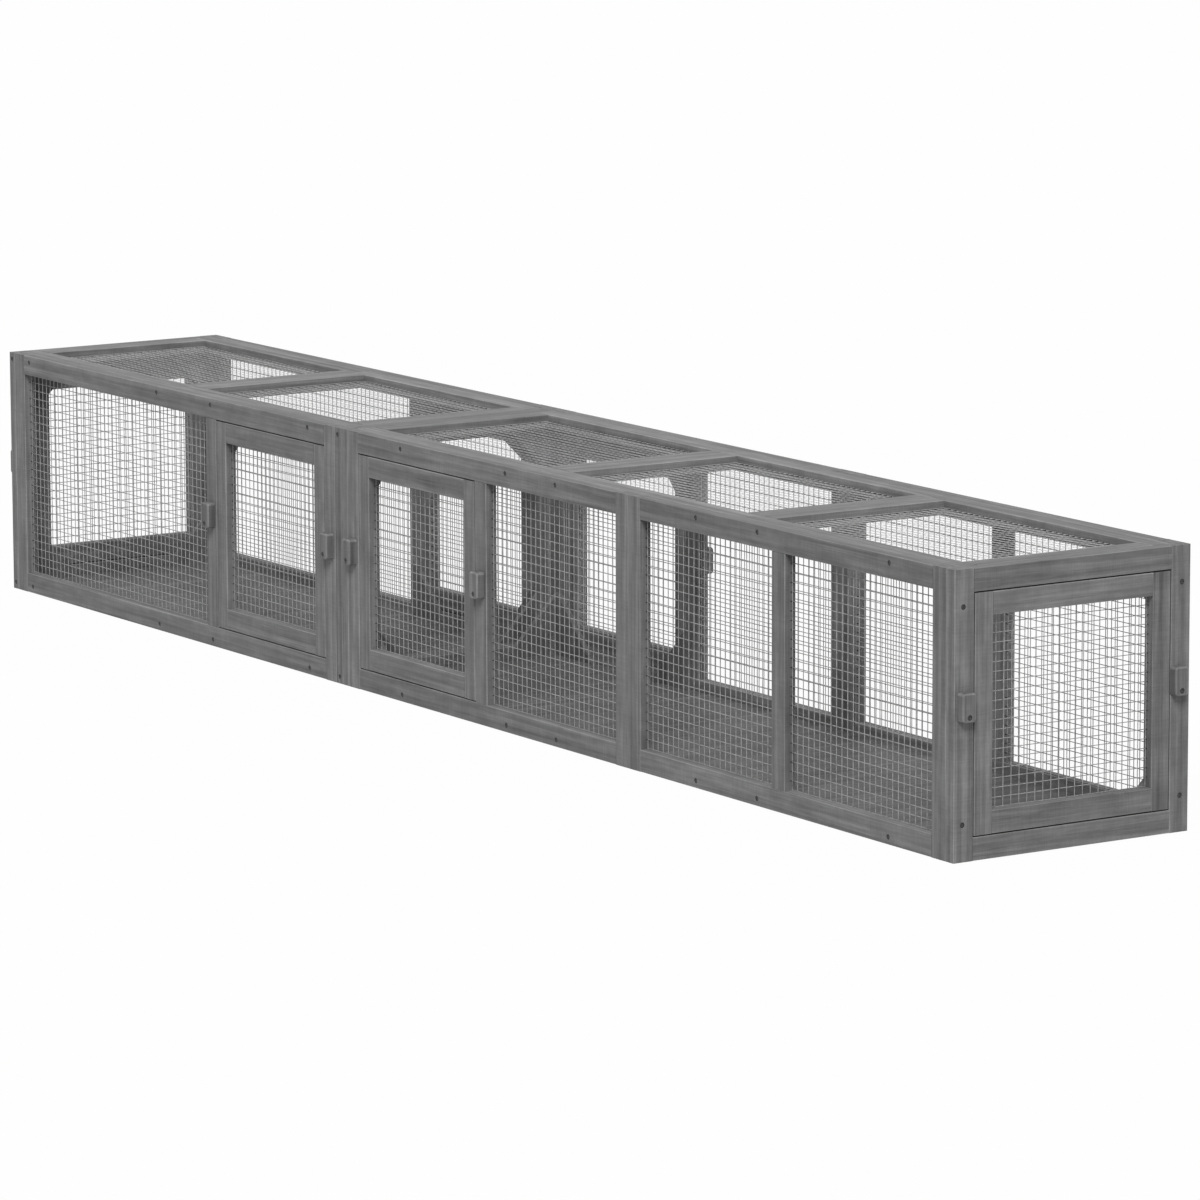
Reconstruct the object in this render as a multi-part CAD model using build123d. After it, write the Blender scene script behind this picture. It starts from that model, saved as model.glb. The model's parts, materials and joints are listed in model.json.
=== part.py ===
"""Outdoor cat tunnel: two timber and wire mesh modules that stand end to end.

X runs along the tunnel, Y from the front to the back, Z up. The origin is on the ground,
under the middle of the tunnel. All sizes are in millimetres.
"""

import os

from build123d import *

# Whole tunnel
TUNNEL_DEPTH = 442.0
TUNNEL_HEIGHT = 445.0

# Timber of the side panels and end frames
BOARD = 21.0
STRIP = 36.0
EDGE_RADIUS = 1.5

# Openings of the side panels, from left to right
LEFT_WINDOW = 683.0
SIDE_DOOR_OPENING = 377.0
MIDDLE_WINDOW = 393.0
THIRD_WINDOW = 372.0
LAST_WINDOW = 390.0

# Doors: the gap round each, and its own strips
DOOR_GAP = 2.0
DOOR_STILE = 33.0
DOOR_RAIL = 36.0

# Roof frames: all of one length, but the last of each module fills what is left
LEFT_ROOF_FRAMES = 2
RIGHT_ROOF_FRAMES = 3
ROOF_FRAME = 586.0
ROOF_BOARD = 24.0
ROOF_STRIP = 36.0

# Floor
LEFT_FLOOR_BOARDS = 12
RIGHT_FLOOR_BOARDS = 18
FLOOR_BOARD = 10.0
FLOOR_BOARD_GAP = 1.0
BATTEN_THICKNESS = 6.0
BATTEN_WIDTH = 40.0
BATTEN_SPACING = 161.0
BATTEN_END_GAP = 1.0

# Wire mesh: a plain sheet as thick as its wire
WIRE = 1.2
MESH_DEPTH = 15.0
ROOF_MESH_DEPTH = 12.5

# Corner gussets behind the door openings
GUSSET_THICKNESS = 10.0
GUSSET_REACH = 74.0

# Turn buttons: the arm is turned down over the door to hold it, and the tail is the other way
BUTTON_ARM = 37.0
BUTTON_TAIL = 8.0
BUTTON_HEIGHT = 25.0
BUTTON_THICKNESS = 15.0
BUTTON_CORNER = 5.0
BUTTON_EDGE = 3.0
BUTTON_CLEARANCE = 0.3
END_FRONT_PIVOT_INSET = 18.0
END_BACK_PIVOT_INSET = 25.0

# Screws
SHANK_RADIUS = 2.0
HEAD_RADIUS = 4.3
HEAD_THICKNESS = 2.0
HEAD_SINK = 2.8
SCREW_CLEARANCE = 0.08
CROSS_LENGTH = 4.6
CROSS_WIDTH = 1.0
CROSS_DEPTH = 1.1
BORE_RELIEF = 1.0
RAIL_SCREW = 42.0
RAIL_SCREW_INSET = 12.0
EDGE_SCREW = 62.0
END_SCREW = 50.0
END_SCREW_SIDE_INSET = 16.0
END_SCREW_LEVEL_INSET = 57.0
JOINT_SCREW = 38.0
JOINT_SCREW_LEVEL_INSET = 150.0
BUTTON_SCREW = 32.0

# How far the rail screws stand from the left and right ends of each roof frame
LEFT_RAIL_SCREW_INSETS = ((56.0, 45.0), (150.0, 92.0))
RIGHT_RAIL_SCREW_INSETS = ((176.0, 77.0), (76.0, 98.0), (74.0, 148.0))

# Sizes that follow from these
LEFT_PANEL = 3 * STRIP + LEFT_WINDOW + SIDE_DOOR_OPENING
MIDDLE_PANEL = 3 * STRIP + SIDE_DOOR_OPENING + MIDDLE_WINDOW
RIGHT_PANEL = 3 * STRIP + THIRD_WINDOW + LAST_WINDOW
TUNNEL_LENGTH = LEFT_PANEL + MIDDLE_PANEL + RIGHT_PANEL + 4 * BOARD
LEFT_END = -TUNNEL_LENGTH / 2
RIGHT_END = TUNNEL_LENGTH / 2
JOINT_X = LEFT_END + LEFT_PANEL + 2 * BOARD
FRONT = -TUNNEL_DEPTH / 2
INNER_FRONT = FRONT + BOARD
OPENING_BOTTOM = STRIP
OPENING_TOP = TUNNEL_HEIGHT - STRIP
ROOF_UNDERSIDE = TUNNEL_HEIGHT - ROOF_BOARD
FLOOR_TOP = BATTEN_THICKNESS + FLOOR_BOARD
GUSSET_LAP = STRIP - BOARD
BUTTON_LEVEL = TUNNEL_HEIGHT / 2
SCREW_LEVELS = (RAIL_SCREW_INSET, TUNNEL_HEIGHT - RAIL_SCREW_INSET)

# The inside of each module along X
LEFT_INSIDE = (LEFT_END + BOARD, JOINT_X - BOARD)
RIGHT_INSIDE = (JOINT_X + BOARD, RIGHT_END - BOARD)
RIGHT_PANEL_START = RIGHT_INSIDE[0] + MIDDLE_PANEL

# Walls: local X runs along the wall, local Y is up and local Z points out of the tunnel
FRONT_WALL = Plane(origin=(0, FRONT, 0), x_dir=(1, 0, 0), z_dir=(0, -1, 0))
END_WALL = Plane(origin=(RIGHT_END, 0, 0), x_dir=(0, 1, 0), z_dir=(1, 0, 0))

AXES = {"x": Axis.X, "y": Axis.Y, "z": Axis.Z}


# Timber

def board(x, y, z, along):
    """A strip of timber that fills the ranges x, y and z, with its long edges rounded."""
    size = [high - low for low, high in (x, y, z)]
    middle = [(low + high) / 2 for low, high in (x, y, z)]
    strip = Box(*size)
    strip = fillet(strip.edges().filter_by(AXES[along]), EDGE_RADIUS)
    return Pos(*middle) * strip


def wall_stile(u, v, thickness=BOARD):
    """An upright strip in a wall's own frame, with its outer face on the wall."""
    return board(u, v, (-thickness, 0), "y")


def wall_rail(u, v, thickness=BOARD):
    """A level strip in a wall's own frame, with its outer face on the wall."""
    return board(u, v, (-thickness, 0), "x")


# Wire mesh

def net(width, height):
    """A flat mesh as a plain sheet as thick as its wire, centred on the origin."""
    return Box(width, height, WIRE)


def wall_net(u, v):
    """The mesh of an opening in a wall's own frame."""
    mesh = net(u[1] - u[0], v[1] - v[0])
    return Pos((u[0] + u[1]) / 2, (v[0] + v[1]) / 2, -MESH_DEPTH) * mesh


# Screws

class Screw:
    """A screw with its head sunk below the timber's face at a point, driven along a direction."""

    def __init__(self, point, direction, length):
        self.plane = Plane(origin=point, z_dir=direction)
        self.length = length

    def solid(self):
        """The screw itself: a round head with a cross recess, and a plain shank."""
        head = Pos(0, 0, HEAD_SINK - HEAD_THICKNESS / 2) * Cylinder(HEAD_RADIUS, HEAD_THICKNESS)
        shank_length = self.length - HEAD_SINK
        shank = Pos(0, 0, HEAD_SINK + shank_length / 2) * Cylinder(SHANK_RADIUS, shank_length)
        slot = Box(CROSS_LENGTH, CROSS_WIDTH, 2 * CROSS_DEPTH)
        cross = Pos(0, 0, HEAD_SINK - HEAD_THICKNESS) * (slot + Rot(0, 0, 90) * slot)
        return self.plane * (head + shank - cross)

    def bore(self):
        """The hole that the screw needs: a sunk seat for the head, and room for the shank."""
        seat = Pos(0, 0, HEAD_SINK / 2) * Cylinder(HEAD_RADIUS + SCREW_CLEARANCE, HEAD_SINK)
        depth = self.length + BORE_RELIEF
        hole = Pos(0, 0, depth / 2) * Cylinder(SHANK_RADIUS + SCREW_CLEARANCE, depth)
        return self.plane * (seat + hole)


def boxes_meet(one, other):
    """Whether two bounding boxes share any space."""
    return all(
        low < other_high and other_low < high
        for low, high, other_low, other_high in (
            (one.min.X, one.max.X, other.min.X, other.max.X),
            (one.min.Y, one.max.Y, other.min.Y, other.max.Y),
            (one.min.Z, one.max.Z, other.min.Z, other.max.Z),
        )
    )


def bored(pieces, bores):
    """The pieces with every hole that reaches them. Each bore comes with its bounding box."""
    out = []
    for piece in pieces:
        box = piece.bounding_box()
        for bore, bore_box in bores:
            if boxes_meet(box, bore_box):
                piece = piece - bore
        out.append(piece)
    return out


def with_boxes(bores):
    """Each bore with its bounding box."""
    return [(bore, bore.bounding_box()) for bore in bores]


def rail_screws():
    """Screws through the front rails: into the roof frames above and the floor below."""
    spans = roof_spans()
    insets = LEFT_RAIL_SCREW_INSETS + RIGHT_RAIL_SCREW_INSETS
    out = []
    for (low, high), (left, right) in zip(spans, insets):
        for x in (low + left, high - right):
            for z in SCREW_LEVELS:
                out.append(Screw((x, FRONT, z), (0, 1, 0), RAIL_SCREW))
    return out


def edge_screws():
    """Screws through the front edges of the left module's end frames, into their rails."""
    out = []
    for x in (LEFT_END + BOARD / 2, JOINT_X - BOARD / 2):
        for z in SCREW_LEVELS:
            out.append(Screw((x, FRONT, z), (0, 1, 0), EDGE_SCREW))
    return out


def end_screws():
    """Screws through the right end frame's stiles, into the ends of the side panels."""
    side = FRONT + END_SCREW_SIDE_INSET
    out = []
    for y in (side, -side):
        for z in (END_SCREW_LEVEL_INSET, TUNNEL_HEIGHT - END_SCREW_LEVEL_INSET):
            out.append(Screw((RIGHT_END, y, z), (-1, 0, 0), END_SCREW))
    return out


def joint_screws():
    """Screws that hold the two modules together, driven from inside the left one."""
    side = INNER_FRONT + GUSSET_LAP / 2
    out = []
    for y in (side, -side):
        for z in (JOINT_SCREW_LEVEL_INSET, TUNNEL_HEIGHT - JOINT_SCREW_LEVEL_INSET):
            out.append(Screw((JOINT_X - BOARD, y, z), (1, 0, 0), JOINT_SCREW))
    return out


# Openings of the side panels and end frames

def panel_openings(start, first, second):
    """The ranges of a panel's two openings along X, between its three stiles."""
    first_end = start + STRIP + first
    second_start = first_end + STRIP
    return (start + STRIP, first_end), (second_start, second_start + second)


LEFT_OPENINGS = panel_openings(LEFT_INSIDE[0], LEFT_WINDOW, SIDE_DOOR_OPENING)
MIDDLE_OPENINGS = panel_openings(RIGHT_INSIDE[0], SIDE_DOOR_OPENING, MIDDLE_WINDOW)
RIGHT_OPENINGS = panel_openings(RIGHT_PANEL_START, THIRD_WINDOW, LAST_WINDOW)

# Each panel: its ends, both openings, and those with a fixed mesh
PANELS = {
    "left": (LEFT_INSIDE, LEFT_OPENINGS, LEFT_OPENINGS[:1]),
    "middle": ((RIGHT_INSIDE[0], RIGHT_PANEL_START), MIDDLE_OPENINGS, MIDDLE_OPENINGS[1:]),
    "right": ((RIGHT_PANEL_START, RIGHT_INSIDE[1]), RIGHT_OPENINGS, RIGHT_OPENINGS),
}
SIDE_DOORS = {"left": LEFT_OPENINGS[1], "right": MIDDLE_OPENINGS[0]}
END_DOOR = (FRONT + STRIP, -FRONT - STRIP)
UPRIGHT = (OPENING_BOTTOM, OPENING_TOP)


# Fixed frames

def panel_frame(span, openings):
    """Stiles and rails of a side panel: outer stiles full height, the middle one between the rails."""
    (low, high), (first, second) = span, openings
    full = (0, TUNNEL_HEIGHT)
    between = (low + STRIP, high - STRIP)
    pieces = [
        wall_stile((low, low + STRIP), full),
        wall_stile((first[1], second[0]), UPRIGHT),
        wall_stile((high - STRIP, high), full),
        wall_rail(between, (0, OPENING_BOTTOM)),
        wall_rail(between, (OPENING_TOP, TUNNEL_HEIGHT)),
    ]
    return [FRONT_WALL * piece for piece in pieces]


def end_frame():
    """Stiles and rails of the right end frame."""
    full = (0, TUNNEL_HEIGHT)
    pieces = [
        wall_stile((FRONT, END_DOOR[0]), full),
        wall_stile((END_DOOR[1], -FRONT), full),
        wall_rail(END_DOOR, (0, OPENING_BOTTOM)),
        wall_rail(END_DOOR, (OPENING_TOP, TUNNEL_HEIGHT)),
    ]
    return [END_WALL * piece for piece in pieces]


def roof_spans():
    """The two ends of each roof frame along X."""
    out = []
    for (low, high), count in ((LEFT_INSIDE, LEFT_ROOF_FRAMES), (RIGHT_INSIDE, RIGHT_ROOF_FRAMES)):
        starts = [low + ROOF_FRAME * i for i in range(count)]
        out += zip(starts, starts[1:] + [high])
    return out


def roof_frame(span):
    """Two long rails and two cross bars, between the side panels."""
    low, high = span
    z = (ROOF_UNDERSIDE, TUNNEL_HEIGHT)
    inner = INNER_FRONT + ROOF_STRIP
    return [
        board(span, (INNER_FRONT, inner), z, "x"),
        board(span, (-inner, -INNER_FRONT), z, "x"),
        board((low, low + ROOF_STRIP), (inner, -inner), z, "y"),
        board((high - ROOF_STRIP, high), (inner, -inner), z, "y"),
    ]


def roof_net(span):
    """The mesh of one roof frame."""
    low, high = span
    mesh = net(high - low - 2 * ROOF_STRIP, -2 * (INNER_FRONT + ROOF_STRIP))
    return Pos((low + high) / 2, 0, TUNNEL_HEIGHT - ROOF_MESH_DEPTH) * mesh


def floor_boards(inside, count):
    """Crosswise boards of one module, from one side panel to the other."""
    low, high = inside
    pitch = (high - low) / count
    z = (BATTEN_THICKNESS, FLOOR_TOP)
    out = []
    for i in range(count):
        left = low + pitch * i + FLOOR_BOARD_GAP / 2
        out.append(board((left, left + pitch - FLOOR_BOARD_GAP), (INNER_FRONT, -INNER_FRONT), z, "y"))
    return out


def floor_battens():
    """Battens under the boards, three in each module."""
    out = []
    for low, high in (LEFT_INSIDE, RIGHT_INSIDE):
        for y in (-BATTEN_SPACING, 0, BATTEN_SPACING):
            sides = (y - BATTEN_WIDTH / 2, y + BATTEN_WIDTH / 2)
            ends = (low + BATTEN_END_GAP, high - BATTEN_END_GAP)
            out.append(board(ends, sides, (0, BATTEN_THICKNESS), "x"))
    return out


# Corner gussets

def gussets(opening):
    """Four triangles behind an opening, in a wall's own frame.

    Each has its square corner on the floor or under the roof, laps the stile, and shows in the
    opening as far as its reach.
    """
    out = []
    for edge, side in ((opening[0], 1), (opening[1], -1)):
        for level, v, up in ((OPENING_BOTTOM, FLOOR_TOP, 1), (OPENING_TOP, ROOF_UNDERSIDE, -1)):
            leg = GUSSET_LAP + abs(level - v) + GUSSET_REACH
            u = edge - side * GUSSET_LAP
            outline = Polyline((u, v), (u + side * leg, v), (u, v + up * leg), close=True)
            triangle = Solid.extrude(make_face(outline).face(), Vector(0, 0, GUSSET_THICKNESS))
            low = triangle.bounding_box().min.Z
            out.append(Pos(0, 0, -BOARD - GUSSET_THICKNESS - low) * triangle)
    return out


# Doors

def door_frame(opening):
    """Stiles and rails of a door that lies in an opening, in a wall's own frame."""
    u = (opening[0] + DOOR_GAP, opening[1] - DOOR_GAP)
    v = (OPENING_BOTTOM + DOOR_GAP, OPENING_TOP - DOOR_GAP)
    between = (u[0] + DOOR_STILE, u[1] - DOOR_STILE)
    return [
        wall_stile((u[0], between[0]), v),
        wall_stile((between[1], u[1]), v),
        wall_rail(between, (v[0], v[0] + DOOR_RAIL)),
        wall_rail(between, (v[1] - DOOR_RAIL, v[1])),
    ]


def door_net(opening):
    """The mesh of a door, in a wall's own frame."""
    side = DOOR_GAP + DOOR_STILE
    level = DOOR_GAP + DOOR_RAIL
    return wall_net((opening[0] + side, opening[1] - side), (OPENING_BOTTOM + level, OPENING_TOP - level))


# Turn buttons

def button_shape():
    """A rounded block on its pivot, with its long arm along X and its back on the origin's plane."""
    length = BUTTON_ARM + BUTTON_TAIL
    block = Box(length, BUTTON_HEIGHT, BUTTON_THICKNESS)
    block = Pos((BUTTON_ARM - BUTTON_TAIL) / 2, 0, BUTTON_THICKNESS / 2) * block
    block = fillet(block.edges().filter_by(Axis.Z), BUTTON_CORNER)
    block = fillet(block.faces().sort_by(Axis.Z)[-1].edges(), BUTTON_EDGE)
    seat = Cylinder(HEAD_RADIUS + SCREW_CLEARANCE, HEAD_SINK)
    hole = Cylinder(SHANK_RADIUS + SCREW_CLEARANCE, BUTTON_THICKNESS)
    block -= Pos(0, 0, BUTTON_THICKNESS - HEAD_SINK / 2) * seat
    block -= Pos(0, 0, BUTTON_THICKNESS / 2) * hole
    return block


def side_pivots(opening):
    """The pivots of a side door's two buttons."""
    return (opening[0] - STRIP / 2, opening[1] + STRIP / 2)


def end_pivots():
    """The pivots of an end door's two buttons."""
    return (FRONT + END_FRONT_PIVOT_INSET, -FRONT - END_BACK_PIVOT_INSET)


def wall_button(pivot):
    """A turn button in a wall's own frame, upright and so clear of its door."""
    return Pos(pivot, BUTTON_LEVEL, BUTTON_CLEARANCE) * (Rot(0, 0, 90) * button_shape())


def button_screw(wall, pivot):
    """The screw that a button turns on."""
    point = wall.from_local_coords((pivot, BUTTON_LEVEL, BUTTON_CLEARANCE + BUTTON_THICKNESS))
    return Screw(point, -wall.z_dir, BUTTON_SCREW)


# Assembly

def to_back(pieces):
    """Copies on the other side of the tunnel."""
    return [mirror(piece, about=Plane.XZ) for piece in pieces]


def to_left(pieces):
    """Copies at the other end of the tunnel."""
    return [mirror(piece, about=Plane.YZ) for piece in pieces]


def side_nodes(bores):
    """The nodes of the front: panels with their mesh, doors with theirs, and turn buttons."""
    nodes = {}
    for name, (span, openings, windows) in PANELS.items():
        nodes[f"front_{name}_panel_frame"] = bored(panel_frame(span, openings), bores)
        nodes[f"front_{name}_panel_mesh"] = [FRONT_WALL * wall_net(window, UPRIGHT) for window in windows]
    for name, opening in SIDE_DOORS.items():
        nodes[f"front_{name}_door_frame"] = [FRONT_WALL * piece for piece in door_frame(opening)]
        nodes[f"front_{name}_door_mesh"] = [FRONT_WALL * door_net(opening)]
        for side, pivot in zip(("left", "right"), side_pivots(opening)):
            nodes[f"front_{name}_door_{side}_button"] = [FRONT_WALL * wall_button(pivot)]
    return nodes


def end_nodes():
    """The nodes of the right end's door: its frame, its mesh and its turn buttons."""
    nodes = {
        "right_end_door_frame": [END_WALL * piece for piece in door_frame(END_DOOR)],
        "right_end_door_mesh": [END_WALL * door_net(END_DOOR)],
    }
    for side, pivot in zip(("front", "back"), end_pivots()):
        nodes[f"right_end_door_{side}_button"] = [END_WALL * wall_button(pivot)]
    return nodes


def frame_nodes(bores):
    """The nodes of the four end frames: the right end's, its mirror image, and copies at the joint."""
    right = end_frame()
    left = to_left(right)
    return {
        "right_end_frame": bored(right, bores),
        "left_end_frame": bored(left, bores),
        "left_joint_frame": bored([Pos(JOINT_X - RIGHT_END, 0, 0) * piece for piece in right], bores),
        "right_joint_frame": bored([Pos(JOINT_X - LEFT_END, 0, 0) * piece for piece in left], bores),
    }


def gusset_nodes():
    """The gussets of the four end frames, and those of the four side doors."""
    right = [END_WALL * piece for piece in gussets(END_DOOR)]
    left = to_left(right)
    at_joint = [Pos(JOINT_X - RIGHT_END, 0, 0) * piece for piece in right]
    at_joint += [Pos(JOINT_X - LEFT_END, 0, 0) * piece for piece in left]
    side = [FRONT_WALL * piece for opening in SIDE_DOORS.values() for piece in gussets(opening)]
    return {
        "end_frame_gussets": right + left + at_joint,
        "side_door_gussets": side + to_back(side),
    }


def roof_and_floor_nodes(bores):
    """The roof frames with their mesh, the floor boards and the battens."""
    nodes = {}
    for number, span in enumerate(roof_spans(), 1):
        nodes[f"roof_frame_{number}"] = bored(roof_frame(span), bores)
        nodes[f"roof_mesh_{number}"] = [roof_net(span)]
    nodes["left_floor_boards"] = bored(floor_boards(LEFT_INSIDE, LEFT_FLOOR_BOARDS), bores)
    nodes["right_floor_boards"] = bored(floor_boards(RIGHT_INSIDE, RIGHT_FLOOR_BOARDS), bores)
    nodes["floor_battens"] = floor_battens()
    return nodes


def build_nodes():
    """Every node of the tunnel, by name, as a list of separate solids."""
    rail = rail_screws()
    edge = edge_screws()
    end = end_screws()
    joint = joint_screws()
    side_places = [pivot for door in SIDE_DOORS.values() for pivot in side_pivots(door)]
    side_button = [button_screw(FRONT_WALL, pivot) for pivot in side_places]
    end_button = [button_screw(END_WALL, pivot) for pivot in end_pivots()]

    front_bores = [screw.bore() for screw in rail + edge + side_button]
    end_bores = [screw.bore() for screw in end + end_button]
    joint_bores = [screw.bore() for screw in joint]
    end_bores += to_left(end_bores)
    front = with_boxes(front_bores + end_bores)
    every = with_boxes(front_bores + to_back(front_bores) + end_bores + joint_bores)

    nodes = side_nodes(front)
    nodes.update({name.replace("front", "back", 1): to_back(pieces) for name, pieces in nodes.items()})
    ends = end_nodes()
    nodes.update(ends)
    nodes.update({name.replace("right", "left", 1): to_left(pieces) for name, pieces in ends.items()})
    nodes.update(frame_nodes(every))
    nodes.update(gusset_nodes())
    nodes.update(roof_and_floor_nodes(every))

    rail_solids = [screw.solid() for screw in rail]
    edge_solids = [screw.solid() for screw in edge]
    end_solids = [screw.solid() for screw in end]
    side_button_solids = [screw.solid() for screw in side_button]
    end_button_solids = [screw.solid() for screw in end_button]
    nodes["rail_screws"] = rail_solids + to_back(rail_solids)
    nodes["frame_edge_screws"] = edge_solids + to_back(edge_solids)
    nodes["end_frame_screws"] = end_solids + to_left(end_solids)
    nodes["module_joint_screws"] = [screw.solid() for screw in joint]
    nodes["button_screws"] = side_button_solids + to_back(side_button_solids)
    nodes["button_screws"] += end_button_solids + to_left(end_button_solids)
    return nodes


os.makedirs("parts", exist_ok=True)
for node_name, solids in build_nodes().items():
    group = Compound(label=node_name, children=[piece.solid() for piece in solids])
    export_step(group, f"parts/{node_name}.step")
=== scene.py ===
"""Looks of the outdoor cat tunnel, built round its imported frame. Lengths are in metres."""

import json
import math
import random

import bpy
import numpy as np
from mathutils import Matrix, Vector


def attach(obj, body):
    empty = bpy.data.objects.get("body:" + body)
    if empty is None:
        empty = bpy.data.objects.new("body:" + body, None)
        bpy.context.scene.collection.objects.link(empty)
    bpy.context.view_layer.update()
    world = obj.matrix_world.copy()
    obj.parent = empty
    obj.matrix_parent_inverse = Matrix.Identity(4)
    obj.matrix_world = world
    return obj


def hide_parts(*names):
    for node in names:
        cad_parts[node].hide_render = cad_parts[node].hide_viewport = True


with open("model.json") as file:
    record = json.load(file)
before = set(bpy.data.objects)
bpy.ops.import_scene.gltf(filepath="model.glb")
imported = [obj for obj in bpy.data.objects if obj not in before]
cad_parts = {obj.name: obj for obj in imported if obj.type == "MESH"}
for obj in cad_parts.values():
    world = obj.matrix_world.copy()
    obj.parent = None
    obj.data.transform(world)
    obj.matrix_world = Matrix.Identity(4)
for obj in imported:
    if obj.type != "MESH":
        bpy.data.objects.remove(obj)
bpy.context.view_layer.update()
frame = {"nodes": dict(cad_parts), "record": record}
BODIES = frame["record"]["behaviour"]["bodies"]
BODY_OF = {node: body for body, nodes in BODIES.items() for node in nodes}

# Welded mesh and the staples that hold it. Both radii are chosen to match how strong the mesh
# looks in the photograph: the wire itself is about 1.2 mm thick.
WIRE_RADIUS = 0.00068
ROOF_WIRE_RADIUS = 0.00034
WIRE_SIDES = 6
MESH_PITCH = 0.0148
LAYER_OFFSET = 0.0005
# Staples hold the mesh; their near-black colour is painted shade where each wire meets the frame
STAPLE_LENGTH = 0.0078
STAPLE_RADIUS = 0.00065
STAPLE_SEAT = STAPLE_RADIUS * 0.6

# A raised near-black ring on each screw head: painted shade round the head
RIM_OUTER = 0.0046
RIM_INNER = 0.0022
RIM_HEIGHT = 0.0003
RIM_OUTER_BEVEL = 0.0003
RIM_INNER_BEVEL = 0.0004
RIM_STEPS = 24

# Camera: the photograph's viewpoint, worked out from the tunnel's corners
CAMERA_AT = Vector((9.2948, -5.8734, 2.0403))
CAMERA_AZIMUTH = math.radians(57.19)
CAMERA_ELEVATION = math.radians(9.67)
CAMERA_ROLL = math.radians(-0.19)
CAMERA_LENS = 197.0
CAMERA_SENSOR = 36.0
CAMERA_REACH = 200.0

# Light and backdrop
WHITE = (1.0, 1.0, 1.0, 1.0)
SKY_STRENGTH = 0.45
SUN_TOWARDS = (-0.545, 0.44, -0.714)
SUN_STRENGTH = 3.0
SUN_SPREAD = 25
FLOOR_SIZE = 80.0
FLOOR_DROP = 0.0005
FLOOR_GREY = 0.6
FLOOR_WHITENESS = 0.97

# Edges sharper than this stay hard, in degrees
TIMBER_SMOOTH = 38
WIRE_SMOOTH = 70
RIM_SMOOTH = 30

# A timber face whose normal is further than this from every axis is a rounded edge, which gets a
# painted highlight
FLAT_NORMAL = 0.985

SEED = 7


# Meshes

def triangles(node):
    """A node's vertices with doubles merged, as an array, and its triangles."""
    mesh = frame["nodes"][node].data
    mesh.calc_loop_triangles()
    points = np.array([vertex.co for vertex in mesh.vertices])
    keys, index = np.unique(np.round(points, 5), axis=0, return_inverse=True)
    index = index.reshape(-1)
    faces = np.array([[index[i] for i in triangle.vertices] for triangle in mesh.loop_triangles])
    whole = (faces[:, 0] != faces[:, 1]) & (faces[:, 1] != faces[:, 2]) & (faces[:, 0] != faces[:, 2])
    return keys, faces[whole]


def solids(node):
    """The separate solids of a node: for each, its own vertices and triangles.

    Triangles belong together when they share an edge with no third triangle on it, so boards
    that only touch stay apart.
    """
    points, faces = triangles(node)
    owners = {}
    for number, face in enumerate(faces.tolist()):
        for a, b in ((0, 1), (1, 2), (2, 0)):
            edge = tuple(sorted((face[a], face[b])))
            owners.setdefault(edge, []).append(number)
    group = list(range(len(faces)))

    def root(i):
        while group[i] != i:
            group[i] = group[group[i]]
            i = group[i]
        return i

    for pair in owners.values():
        if len(pair) == 2:
            group[root(pair[0])] = root(pair[1])
    members = {}
    for number in range(len(faces)):
        members.setdefault(root(number), []).append(number)
    out = []
    for numbers in members.values():
        used, index = np.unique(faces[numbers], return_inverse=True)
        out.append((points[used], index.reshape(-1, 3)))
    return out


def new_object(name, vertices, faces, smooth_angle=None):
    """A mesh object, with edges sharper than the angle left hard."""
    mesh = bpy.data.meshes.new(name)
    mesh.from_pydata([tuple(v) for v in vertices], [], [tuple(f) for f in faces])
    mesh.validate()
    obj = bpy.data.objects.new(name, mesh)
    bpy.context.scene.collection.objects.link(obj)
    if smooth_angle is not None:
        mesh.polygons.foreach_set("use_smooth", [True] * len(mesh.polygons))
        mesh.set_sharp_from_angle(angle=math.radians(smooth_angle))
    return obj


# Materials

def material(name):
    """A new node material with its Principled shader."""
    made = bpy.data.materials.new(name)
    made.use_nodes = True
    return made, made.node_tree, made.node_tree.nodes["Principled BSDF"]


def add(tree, kind, **sockets):
    """A shader node, with its input sockets set or linked by name."""
    node = tree.nodes.new(kind)
    for name, value in sockets.items():
        socket = node.inputs[name.replace("_", " ")]
        if isinstance(value, bpy.types.NodeSocket):
            tree.links.new(value, socket)
        else:
            socket.default_value = value
    return node


def grain_noise(tree, vector, scale, detail, roughness, distortion=0.0):
    """Noise stretched along the grain."""
    mapping = add(tree, "ShaderNodeMapping", Vector=vector, Scale=scale)
    noise = add(tree, "ShaderNodeTexNoise", Vector=mapping.outputs[0], Scale=1.0, Detail=detail)
    noise.inputs["Roughness"].default_value = roughness
    noise.inputs["Distortion"].default_value = distortion
    return noise.outputs["Fac"]


def math_node(tree, operation, a, b, clamp=False):
    """The result of a two-value sum."""
    node = tree.nodes.new("ShaderNodeMath")
    node.operation = operation
    node.use_clamp = clamp
    for socket, value in zip(node.inputs, (a, b)):
        if isinstance(value, bpy.types.NodeSocket):
            tree.links.new(value, socket)
        else:
            socket.default_value = value
    return node.outputs[0]


def ramp(tree, value, stops):
    """A colour ramp through grey stops, given as place and colour."""
    node = add(tree, "ShaderNodeValToRGB", Fac=value)
    elements = node.color_ramp.elements
    while len(elements) < len(stops):
        elements.new(0.5)
    for element, (place, colour) in zip(elements, stops):
        element.position = place
        element.color = (*colour, 1.0)
    return node.outputs[0]


def grey(value):
    """A neutral grey."""
    return (value, value, value)


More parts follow.
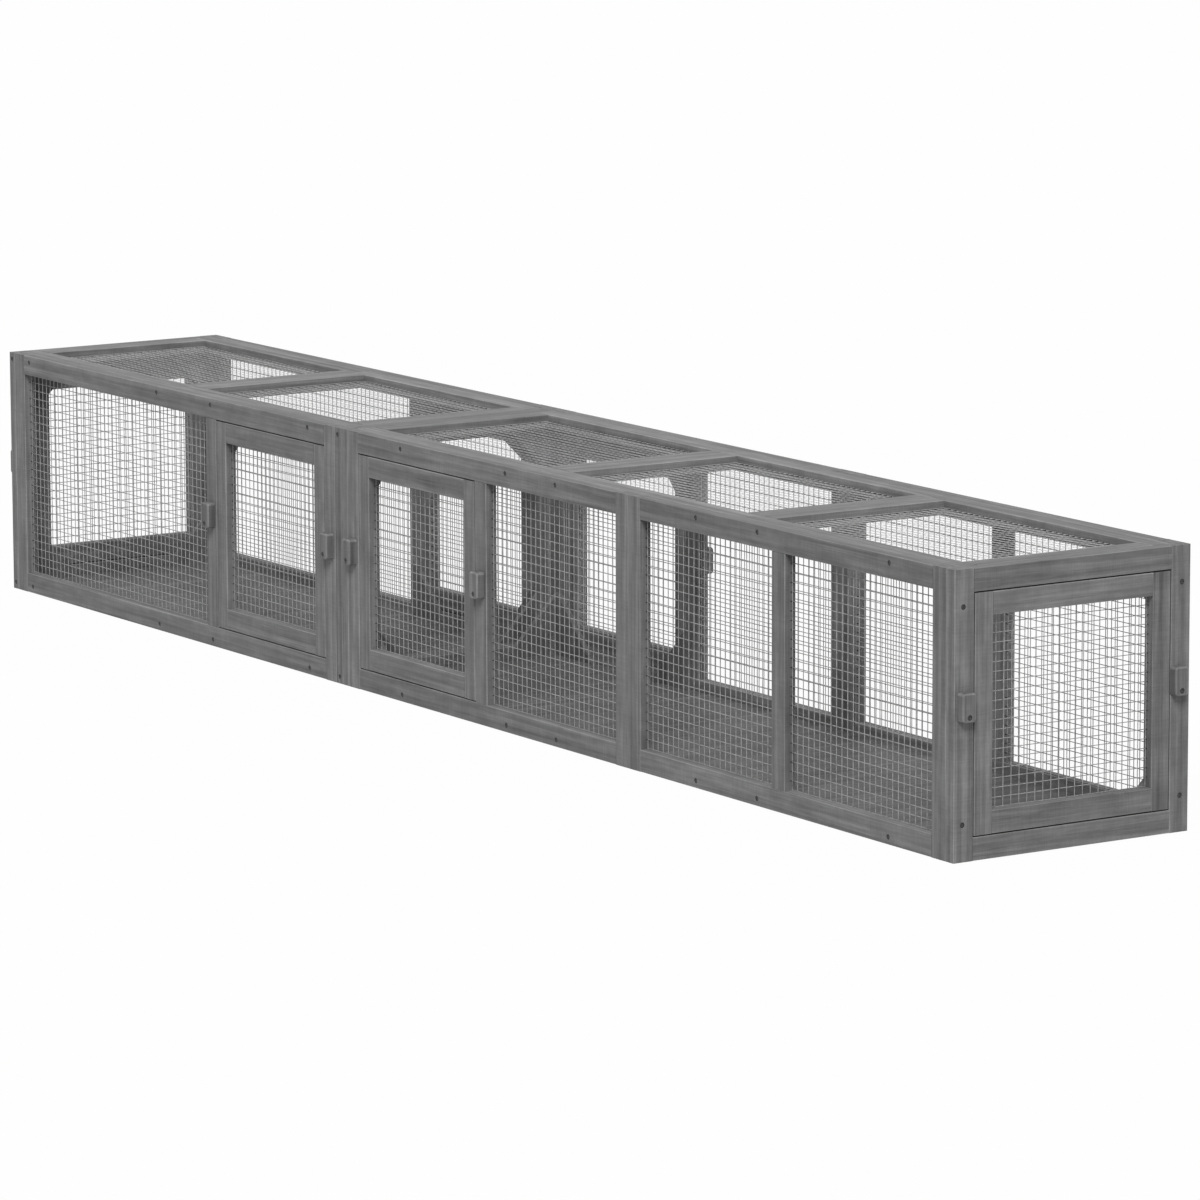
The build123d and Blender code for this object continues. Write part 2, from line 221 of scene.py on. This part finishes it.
def wood(name, dark, light, gloss=0.62):
    """Softwood under a thin grey stain: streaks along the grain and blotches, with the rounded edges
    lightened by a painted highlight.
    """
    made, tree, shader = material(name)
    grain = tree.nodes.new("ShaderNodeAttribute")
    grain.attribute_name = "grain"
    tone = tree.nodes.new("ShaderNodeAttribute")
    tone.attribute_name = "tone"
    # The edge attribute marks the faces of rounded edges, which get a painted highlight
    edge = tree.nodes.new("ShaderNodeAttribute")
    edge.attribute_name = "edge"
    vector = grain.outputs["Vector"]
    figure = grain_noise(tree, vector, (2.2, 95.0, 95.0), 5.0, 0.6, 0.35)
    fibre = grain_noise(tree, vector, (14.0, 700.0, 700.0), 4.0, 0.6)
    blotch = grain_noise(tree, vector, (16.0, 34.0, 34.0), 5.0, 0.62)
    brush = grain_noise(tree, vector, (480.0, 22.0, 22.0), 3.0, 0.6)
    mix = math_node(tree, "MULTIPLY", figure, 0.46)
    for layer, weight in ((fibre, 0.18), (blotch, 0.26), (brush, 0.10)):
        mix = math_node(tree, "ADD", mix, math_node(tree, "MULTIPLY", layer, weight))
    middle = (dark + light) / 2
    colour = ramp(tree, mix, [(0.35, grey(dark)), (0.5, grey(middle * 0.95)), (0.64, grey(light))])
    # Tone varies at random from board to board; faces of the rounded edges are then lightened by 42%,
    # a painted highlight
    shade = math_node(tree, "ADD", math_node(tree, "MULTIPLY", tone.outputs["Fac"], 0.16), 0.92)
    shade = math_node(tree, "MULTIPLY", shade, math_node(
        tree, "ADD", math_node(tree, "MULTIPLY", edge.outputs["Fac"], 0.42), 1.0))
    scaled = add(tree, "ShaderNodeVectorMath")
    scaled.operation = "SCALE"
    tree.links.new(colour, scaled.inputs[0])
    tree.links.new(shade, scaled.inputs["Scale"])
    tree.links.new(scaled.outputs[0], shader.inputs["Base Color"])
    rough = math_node(tree, "ADD", math_node(tree, "MULTIPLY", blotch, 0.22), gloss - 0.11)
    tree.links.new(rough, shader.inputs["Roughness"])
    shader.inputs["Specular IOR Level"].default_value = 0.3
    height = math_node(tree, "ADD", math_node(tree, "MULTIPLY", fibre, 0.6), figure)
    bump = add(tree, "ShaderNodeBump", Height=height, Strength=0.35, Distance=0.0004)
    tree.links.new(bump.outputs[0], shader.inputs["Normal"])
    return made


def metal(name, low, high, rough, metallic, scale):
    """Metal with a fine cloudy finish."""
    made, tree, shader = material(name)
    place = tree.nodes.new("ShaderNodeTexCoord").outputs["Object"]
    noise = add(tree, "ShaderNodeTexNoise", Vector=place, Scale=scale, Detail=3.0).outputs["Fac"]
    colour = ramp(tree, noise, [(0.35, grey(low)), (0.65, grey(high))])
    tree.links.new(colour, shader.inputs["Base Color"])
    spread = math_node(tree, "ADD", math_node(tree, "MULTIPLY", noise, 0.2), rough - 0.1)
    tree.links.new(spread, shader.inputs["Roughness"])
    shader.inputs["Metallic"].default_value = metallic
    return made


FRAME_WOOD = wood("frame_wood", 0.060, 0.215)
# The roof's timber is the frame's wood made lighter: painted light falling on the roof
LIT_ROOF_WOOD = wood("frame_wood_painted_roof_light", 0.065, 0.250)
# The floor's timber is the frame's wood made darker: painted shade inside the tunnel
SHADED_FLOOR_WOOD = wood("frame_wood_painted_floor_shade", 0.060, 0.190)
GUSSET_WOOD = wood("gusset_wood", 0.055, 0.170)
BUTTON_WOOD = wood("button_wood", 0.060, 0.180)
WIRE_METAL = metal("galvanised_wire", 0.22, 0.36, 0.42, 0.3, 220.0)
# The roof's wire is the same galvanised wire made lighter: painted light falling on the roof
LIT_ROOF_WIRE_METAL = metal("galvanised_wire_painted_roof_light", 0.46, 0.60, 0.42, 0.1, 220.0)
SCREW_METAL = metal("screw_head", 0.06, 0.10, 0.40, 0.5, 900.0)
# Near-black steel for the staples and the screw-head rings: its darkness is painted shade
PAINTED_SHADE_STEEL = metal("near_black_steel_painted_shade", 0.012, 0.028, 0.5, 0.3, 900.0)


# Timber

def wood_of(node):
    """The wood of a node."""
    if "button" in node:
        return BUTTON_WOOD
    if "gusset" in node:
        return GUSSET_WOOD
    if "floor" in node:
        return SHADED_FLOOR_WOOD
    if node.startswith("roof"):
        return LIT_ROOF_WOOD
    return FRAME_WOOD


def dress_timber(node, rng):
    """Stands for a wooden node with the same boards, each with its grain along its length."""
    vertices, faces, grain, tone = [], [], [], []
    for points, triangle in solids(node):
        size = points.max(0) - points.min(0)
        along = int(np.argmax(size)) if "gusset" not in node else 2
        across = [axis for axis in range(3) if axis != along]
        shift = np.array([rng.uniform(0, 40) for _ in range(3)])
        faces += (triangle + len(vertices)).tolist()
        vertices += points.tolist()
        grain += (points[:, [along] + across] + shift).tolist()
        tone += [rng.random()] * len(points)
    piece = new_object(node + "_timber", vertices, faces, smooth_angle=TIMBER_SMOOTH)
    mesh = piece.data
    mesh.attributes.new("grain", "FLOAT_VECTOR", "POINT").data.foreach_set("vector", np.ravel(grain))
    mesh.attributes.new("tone", "FLOAT", "POINT").data.foreach_set("value", tone)
    # Faces of the rounded edges, marked for the wood's painted highlight; gussets get none
    highlighted_edge_faces = [float(max(abs(c) for c in polygon.normal) < FLAT_NORMAL) for polygon in mesh.polygons]
    if "gusset" in node:
        highlighted_edge_faces = [0.0] * len(highlighted_edge_faces)
    mesh.attributes.new("edge", "FLOAT", "FACE").data.foreach_set("value", highlighted_edge_faces)
    mesh.materials.append(wood_of(node))
    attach(piece, BODY_OF[node])
    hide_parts(node)


# Wire

def rod(start, end, radius, vertices, faces):
    """Adds a straight wire with closed ends."""
    start, end = Vector(start), Vector(end)
    turn = (end - start).to_track_quat("Z", "Y").to_matrix()
    first = len(vertices)
    for centre in (start, end):
        for i in range(WIRE_SIDES):
            angle = 2 * math.pi * i / WIRE_SIDES
            around = Vector((radius * math.cos(angle), radius * math.sin(angle), 0))
            vertices.append(centre + turn @ around)
    for i in range(WIRE_SIDES):
        j = (i + 1) % WIRE_SIDES
        faces.append((first + i, first + j, first + WIRE_SIDES + j, first + WIRE_SIDES + i))
    faces.append(tuple(first + i for i in reversed(range(WIRE_SIDES))))
    faces.append(tuple(first + WIRE_SIDES + i for i in range(WIRE_SIDES)))


def point_on(axes, u, v, n):
    """A point from its places along a net's two sides and its normal."""
    out = [0.0, 0.0, 0.0]
    for axis, value in zip(axes, (u, v, n)):
        out[axis] = value
    return out


def places(low, high, radius):
    """Where parallel wires lie across an opening, at the mesh's own pitch."""
    count = round((high - low) / MESH_PITCH)
    return [low + radius + (high - low - 2 * radius) * i / count for i in range(count + 1)]


def dress_net(node):
    """Stands for a flat mesh with its real wires, one layer laid on the other, and its staples."""
    on_roof = node.startswith("roof")
    radius = ROOF_WIRE_RADIUS if on_roof else WIRE_RADIUS
    vertices, faces, staple_vertices, staple_faces = [], [], [], []
    for points, _ in solids(node):
        low, high = points.min(0), points.max(0)
        normal = int(np.argmin(high - low))
        u, v = [axis for axis in range(3) if axis != normal]
        axes = (u, v, normal)
        middle = (low[normal] + high[normal]) / 2
        outward = 1 if middle > 0 else -1
        outer, inner = middle + outward * LAYER_OFFSET, middle - outward * LAYER_OFFSET
        columns = places(low[u], high[u], radius)
        rows = places(low[v], high[v], radius)
        for place in columns:
            ends = [point_on(axes, place, end, outer) for end in (low[v], high[v])]
            rod(*ends, radius, vertices, faces)
        for place in rows:
            ends = [point_on(axes, end, place, inner) for end in (low[u], high[u])]
            rod(*ends, radius, vertices, faces)
        half = STAPLE_LENGTH / 2
        for place in rows[1:-1]:
            for level in (low[u] + STAPLE_SEAT, high[u] - STAPLE_SEAT):
                if on_roof:
                    ends = [point_on(axes, level, place + shift, inner) for shift in (-half, half)]
                else:
                    ends = [point_on(axes, level, place, middle + shift) for shift in (-half, half)]
                rod(*ends, STAPLE_RADIUS, staple_vertices, staple_faces)
        for place in columns[1:-1] if on_roof else ():
            for level in (low[v] + STAPLE_SEAT, high[v] - STAPLE_SEAT):
                ends = [point_on(axes, place + shift, level, inner) for shift in (-half, half)]
                rod(*ends, STAPLE_RADIUS, staple_vertices, staple_faces)
    wires = new_object(node + "_wires", vertices, faces, smooth_angle=WIRE_SMOOTH)
    wires.data.materials.append(LIT_ROOF_WIRE_METAL if on_roof else WIRE_METAL)
    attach(wires, BODY_OF[node])
    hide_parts(node)
    # Near-black staples: painted shade where the wires meet the frame
    staples = new_object(node + "_staples", staple_vertices, staple_faces, smooth_angle=WIRE_SMOOTH)
    staples.data.materials.append(PAINTED_SHADE_STEEL)
    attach(staples, BODY_OF[node])


# Screws

def dress_screws(node):
    """Gives the screws their steel, and each head that shows a raised near-black ring of painted
    shade.
    """
    obj = frame["nodes"][node]
    obj.data.materials.clear()
    obj.data.materials.append(SCREW_METAL)
    if node == "module_joint_screws":
        return
    vertices, faces = [], []
    for points, _ in solids(node):
        low, high = points.min(0), points.max(0)
        axis = int(np.argmax(high - low))
        centre = (low + high) / 2
        outward = 1 if centre[axis] > 0 else -1
        if node == "frame_edge_screws" or node == "rail_screws":
            outward = 1 if centre[1] > 0 else -1
        top = high[axis] if outward > 0 else low[axis]
        across = [other for other in range(3) if other != axis]
        rings = (
            (RIM_OUTER, 0.0),
            (RIM_OUTER - RIM_OUTER_BEVEL, RIM_HEIGHT),
            (RIM_INNER + RIM_INNER_BEVEL, RIM_HEIGHT),
            (RIM_INNER, 0.0),
        )
        first = len(vertices)
        for radius, rise in rings:
            for i in range(RIM_STEPS):
                angle = 2 * math.pi * i / RIM_STEPS
                point = [0.0, 0.0, 0.0]
                point[axis] = top + outward * rise
                point[across[0]] = centre[across[0]] + radius * math.cos(angle)
                point[across[1]] = centre[across[1]] + radius * math.sin(angle)
                vertices.append(point)
        for ring in range(len(rings) - 1):
            for i in range(RIM_STEPS):
                j = (i + 1) % RIM_STEPS
                a = first + ring * RIM_STEPS
                faces.append((a + i, a + j, a + RIM_STEPS + j, a + RIM_STEPS + i))
    # The near-black rings paint the shade round each head
    painted_shade_rings = new_object(node + "_rims", vertices, faces, smooth_angle=RIM_SMOOTH)
    painted_shade_rings.data.materials.append(PAINTED_SHADE_STEEL)
    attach(painted_shade_rings, BODY_OF[node])


rng = random.Random(SEED)
for node in sorted(frame["nodes"]):
    if node.endswith("screws"):
        dress_screws(node)
    elif "mesh" in node:
        dress_net(node)
    else:
        dress_timber(node, rng)


# Studio

def seen_share(tree, share):
    """A mix factor: the share for the camera and for clear reflections, and none for other light."""
    path = tree.nodes.new("ShaderNodeLightPath")
    seen = math_node(tree, "MAXIMUM", path.outputs["Is Camera Ray"], path.outputs["Is Glossy Ray"])
    seen = math_node(tree, "MAXIMUM", seen, path.outputs["Is Transmission Ray"])
    return math_node(tree, "MULTIPLY", seen, share)


def build_world():
    """A white backdrop that lights the tunnel softly."""
    world = bpy.data.worlds.new("studio")
    world.use_nodes = True
    tree = world.node_tree
    soft = tree.nodes["Background"]
    soft.inputs["Color"].default_value = WHITE
    soft.inputs["Strength"].default_value = SKY_STRENGTH
    white = add(tree, "ShaderNodeBackground", Color=WHITE, Strength=1.0)
    mix = tree.nodes.new("ShaderNodeMixShader")
    tree.links.new(seen_share(tree, 1.0), mix.inputs[0])
    tree.links.new(soft.outputs[0], mix.inputs[1])
    tree.links.new(white.outputs[0], mix.inputs[2])
    tree.links.new(mix.outputs[0], tree.nodes["World Output"].inputs["Surface"])
    bpy.context.scene.world = world


def build_floor():
    """A pale floor that reads as white and keeps a faint shadow."""
    half = FLOOR_SIZE / 2
    corners = [(-half, -half), (half, -half), (half, half), (-half, half)]
    floor = new_object("studio_floor", [(x, y, -FLOOR_DROP) for x, y in corners], [(0, 1, 2, 3)])
    made, tree, shader = material("studio_floor")
    shader.inputs["Base Color"].default_value = (*grey(FLOOR_GREY), 1.0)
    shader.inputs["Roughness"].default_value = 0.9
    shader.inputs["Specular IOR Level"].default_value = 0.0
    glow = add(tree, "ShaderNodeEmission", Color=WHITE, Strength=1.0)
    mix = tree.nodes.new("ShaderNodeMixShader")
    tree.links.new(seen_share(tree, FLOOR_WHITENESS), mix.inputs[0])
    tree.links.new(shader.outputs[0], mix.inputs[1])
    tree.links.new(glow.outputs[0], mix.inputs[2])
    tree.links.new(mix.outputs[0], tree.nodes["Material Output"].inputs["Surface"])
    floor.data.materials.append(made)


def build_sun(name, towards, strength, spread):
    """A soft light that shines along a direction."""
    light = bpy.data.lights.new(name, "SUN")
    light.energy = strength
    light.angle = math.radians(spread)
    obj = bpy.data.objects.new(name, light)
    obj.rotation_euler = Vector(towards).to_track_quat("-Z", "Y").to_euler()
    bpy.context.scene.collection.objects.link(obj)


def build_camera():
    """The camera at the photograph's viewpoint."""
    back = Vector((
        math.sin(CAMERA_AZIMUTH) * math.cos(CAMERA_ELEVATION),
        -math.cos(CAMERA_AZIMUTH) * math.cos(CAMERA_ELEVATION),
        math.sin(CAMERA_ELEVATION),
    ))
    right = Vector((math.cos(CAMERA_AZIMUTH), math.sin(CAMERA_AZIMUTH), 0.0))
    up = back.cross(right)
    turn = Matrix((right, up, back)).transposed() @ Matrix.Rotation(CAMERA_ROLL, 3, "Z")
    data = bpy.data.cameras.new("photo_camera")
    data.sensor_width = CAMERA_SENSOR
    data.lens = CAMERA_LENS
    data.clip_end = CAMERA_REACH
    camera = bpy.data.objects.new("photo_camera", data)
    camera.matrix_world = Matrix.Translation(CAMERA_AT) @ turn.to_4x4()
    bpy.context.scene.collection.objects.link(camera)
    bpy.context.scene.camera = camera


build_world()
build_floor()
build_sun("key", SUN_TOWARDS, SUN_STRENGTH, SUN_SPREAD)
build_camera()
bpy.context.scene.view_settings.view_transform = "Standard"
